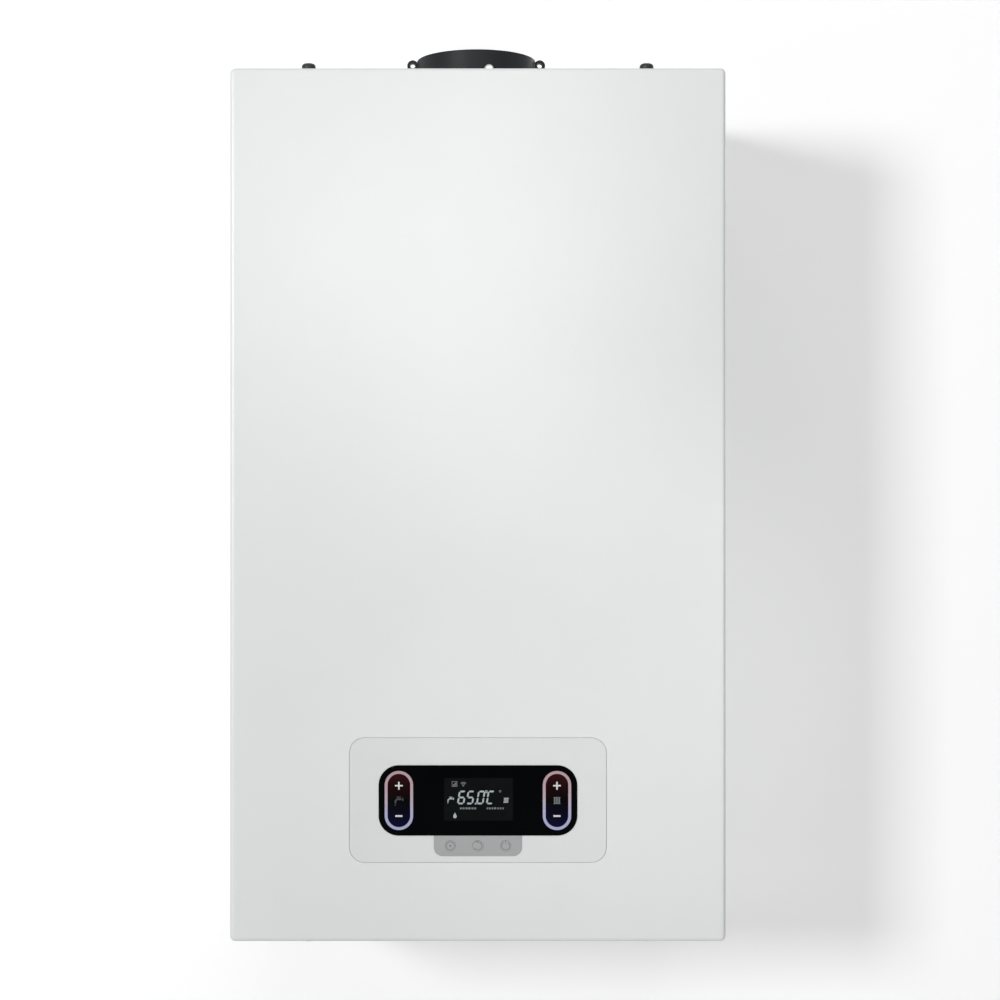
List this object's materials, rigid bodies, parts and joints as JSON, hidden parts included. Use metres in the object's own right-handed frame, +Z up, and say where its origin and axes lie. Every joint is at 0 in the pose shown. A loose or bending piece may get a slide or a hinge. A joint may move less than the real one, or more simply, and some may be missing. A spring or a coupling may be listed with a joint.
{
  "type": "wall-hung condensing boiler",
  "caption": "Wall-hung condensing boiler in a white sheet casing, with a black glass control panel, concentric flue collar and the burner, fan, pump and hydraulics inside.",
  "frame": {"origin": "middle of the wall bracket's two slots, on the wall", "axes": "+X to the right as seen from the room, +Y into the wall, +Z up"},
  "size_m": [0.42, 0.2758, 0.7942],
  "materials": {
    "casing_white": "satin white powder coat",
    "galvanised_sheet": "hot-dip galvanised sheet",
    "black_plastic": "fine matt",
    "black_screws": "black oxide",
    "zinc": "bright zinc",
    "seal_rubber": "matt",
    "stainless": "bright rolled stainless steel",
    "cast_aluminium": "die cast",
    "ceramic": "glazed",
    "brass": "hot-pressed brass",
    "copper": "drawn copper",
    "vessel_red": "gloss enamel",
    "pump_iron": "painted casting",
    "grey_plastic": "fine matt",
    "board_green": "solder mask",
    "bezel_white": "fine satin",
    "black_glass": "polished",
    "ring_light": "translucent",
    "rocker_black": "polished",
    "key_grey": "satin",
    "knob_red": "satin",
    "knob_blue": "satin",
    "knob_black": "satin"
  },
  "bodies": {
    "frame": {"air_silencer": "grey_plastic", "air_vent": "brass", "bottom_panel": "galvanised_sheet", "brass_nuts": "brass", "burner": "stainless", "burner_door": "cast_aluminium", "cable_glands": "black_plastic", "casing_screws": "black_screws", "chassis": "galvanised_sheet", "condensate_hose": "seal_rubber", "condensate_siphon": "grey_plastic", "control_bezel": "bezel_white", "control_board": "board_green", "control_box": "grey_plastic", "display_glass": "black_glass", "diverter_actuator": "black_plastic", "electrodes": "ceramic", "exchanger_coil": "stainless", "exchanger_cradle": "galvanised_sheet", "exchanger_housing": "stainless", "expansion_vessel": "vessel_red", "fan_housing": "cast_aluminium", "fan_motor": "black_plastic", "flow_group": "brass", "flow_pipe": "copper", "flue_collar": "black_plastic", "gas_feed_pipe": "copper", "gas_inlet_pipe": "brass", "gas_mixer": "cast_aluminium", "gas_valve": "cast_aluminium", "gas_valve_coils": "black_plastic", "ignition_unit": "black_plastic", "key_strip": "key_grey", "light_rings": "ring_light", "mixing_manifold": "cast_aluminium", "plate_exchanger": "stainless", "pump_body": "pump_iron", "pump_motor": "black_plastic", "return_group": "brass", "return_pipe": "copper", "safety_valve": "brass", "seals": "seal_rubber", "top_panel": "galvanised_sheet", "vessel_pipe": "copper", "wall_bracket": "galvanised_sheet", "wall_buffers": "seal_rubber", "zinc_screws": "zinc"},
    "casing": {"front_casing": "casing_white"},
    "fan_rotor": {"fan_impeller": "black_plastic"},
    "pump_wheel": {"pump_rotor": "stainless"},
    "diverter": {"diverter_stem": "brass"},
    "water_rocker": {"hot_water_rocker": "rocker_black"},
    "heat_rocker": {"heating_rocker": "rocker_black"},
    "menu": {"menu_key": "key_grey"},
    "back": {"back_key": "key_grey"},
    "power": {"power_key": "key_grey"},
    "filling_tap": {"filling_knob": "knob_blue"},
    "drain_tap": {"drain_knob": "knob_black"},
    "safety_handle": {"safety_knob": "knob_red"},
    "vent_cap": {"air_vent_cap": "knob_black"}
  },
  "joints": [
    {"name": "casing_slide", "type": "slide", "parent": "frame", "child": "casing", "axis": [0, -1, 0], "range_m": [0, 0.32]},
    {"name": "fan_spin", "type": "hinge", "parent": "frame", "child": "fan_rotor", "pos_m": [0.047, -0.22, -0.2713], "axis": [0, -1, 0], "continuous": true},
    {"name": "pump_spin", "type": "hinge", "parent": "frame", "child": "pump_wheel", "pos_m": [0.108, -0.15, -0.434], "axis": [0, -1, 0], "continuous": true},
    {"name": "diverter_slide", "type": "slide", "parent": "frame", "child": "diverter", "axis": [0, 0, -1], "range_m": [0, 0.008]},
    {"name": "hot_water_rocker_tilt", "type": "hinge", "parent": "frame", "child": "water_rocker", "pos_m": [-0.0669, -0.2743, -0.5403], "axis": [1, 0, 0], "range_deg": [-2.5, 2.5], "stiffness_Nm_per_rad": 0.8},
    {"name": "heating_rocker_tilt", "type": "hinge", "parent": "frame", "child": "heat_rocker", "pos_m": [0.0669, -0.2743, -0.5403], "axis": [1, 0, 0], "range_deg": [-2.5, 2.5], "stiffness_Nm_per_rad": 0.8},
    {"name": "menu_key_press", "type": "slide", "parent": "frame", "child": "menu", "axis": [0, 1, 0], "range_m": [0, 0.0008], "stiffness_N_per_m": 1500},
    {"name": "back_key_press", "type": "slide", "parent": "frame", "child": "back", "axis": [0, 1, 0], "range_m": [0, 0.0008], "stiffness_N_per_m": 1500},
    {"name": "power_key_press", "type": "slide", "parent": "frame", "child": "power", "axis": [0, 1, 0], "range_m": [0, 0.0008], "stiffness_N_per_m": 1500},
    {"name": "filling_knob_turn", "type": "hinge", "parent": "frame", "child": "filling_tap", "pos_m": [0.097, -0.122, -0.67], "axis": [0, 0, -1], "range_deg": [0, 270]},
    {"name": "drain_knob_turn", "type": "hinge", "parent": "frame", "child": "drain_tap", "pos_m": [-0.097, -0.122, -0.67], "axis": [0, 0, -1], "range_deg": [0, 270]},
    {"name": "safety_knob_turn", "type": "hinge", "parent": "frame", "child": "safety_handle", "pos_m": [0.148, -0.157, -0.53], "axis": [1, 0, 0], "range_deg": [0, 90]},
    {"name": "vent_cap_turn", "type": "hinge", "parent": "frame", "child": "vent_cap", "pos_m": [0.078, -0.108, -0.334], "axis": [0, 0, 1], "range_deg": [0, 270]}
  ]
}
